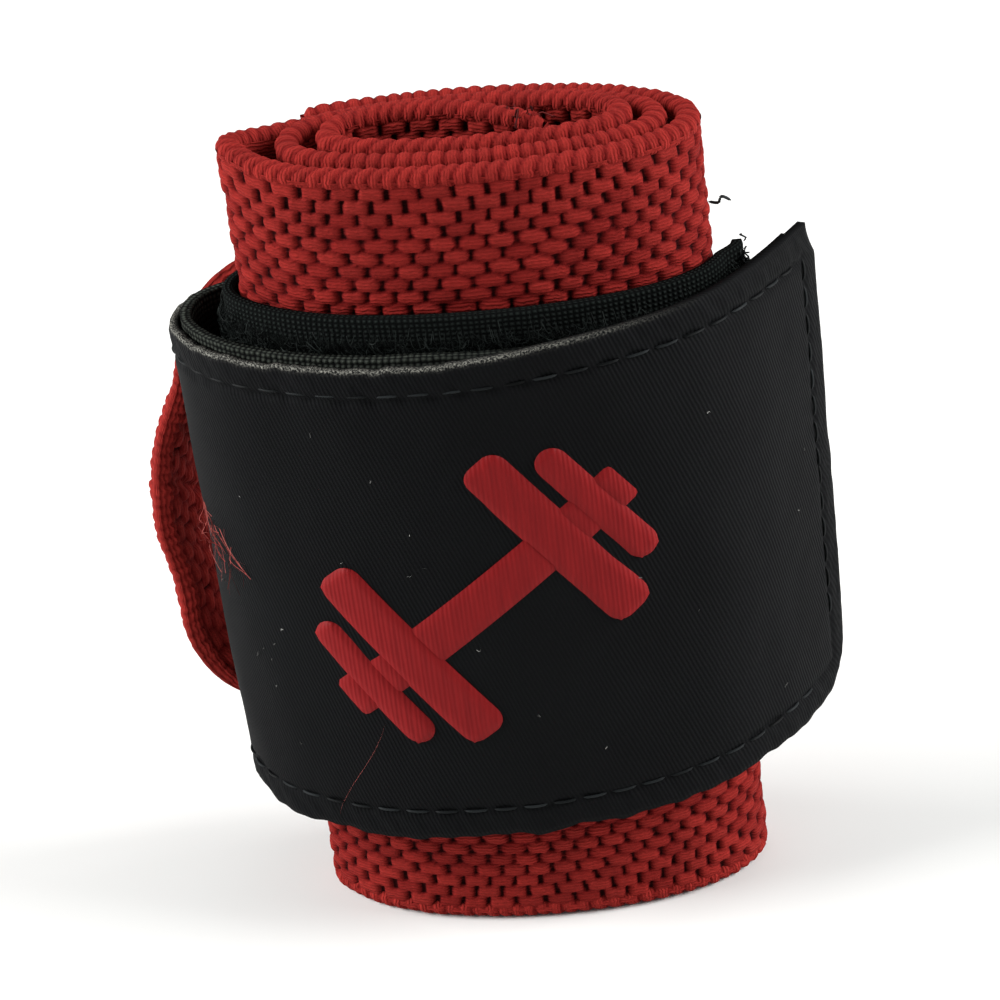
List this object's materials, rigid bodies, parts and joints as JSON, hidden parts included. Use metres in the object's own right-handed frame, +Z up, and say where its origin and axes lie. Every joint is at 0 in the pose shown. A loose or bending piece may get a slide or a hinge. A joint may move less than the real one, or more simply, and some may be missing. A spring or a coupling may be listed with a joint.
{
  "type": "wrist wrap",
  "caption": "Woven elastic wrist wrap rolled into an oval roll on its edge, closed by a folded hook-and-loop tab, with a narrow thumb loop at one side and a stitched emblem.",
  "frame": {"origin": "Under the middle of the part's bounding box, on the surface that the band's lower edge stands on.", "axes": "+Z up along the band's width; +X along the long side of the roll, towards the tab's free end; -Y the front, where the tab and the emblem are."},
  "size_m": [0.0676, 0.0342, 0.08],
  "materials": {
    "elastic_red": "thick woven elastic in soft matt polyester yarn, brick-like floats with dark holes between, a rounded corded selvage at each edge",
    "strap_red": "narrow woven elastic, matt, with slanting ribs along its edges and a few frayed yarns",
    "loop_pile_black": "brushed loop pile, dull and light-absorbing, with a flat woven edge",
    "satin_black": "tightly woven satin cloth with very fine slanting ribs, a soft low sheen",
    "hook_tape_black": "stiff woven tape with a dotted woven edge, matt",
    "thread_red": "satin-stitched polyester thread lying up and down, a slight silky sheen"
  },
  "bodies": {
    "root": {"elastic_band": "elastic_red", "loop_patch": "loop_pile_black", "tab_cover": "satin_black", "hook_tape": "hook_tape_black", "thumb_loop": "strap_red", "emblem_dumbbell": "thread_red"}
  },
  "joints": []
}
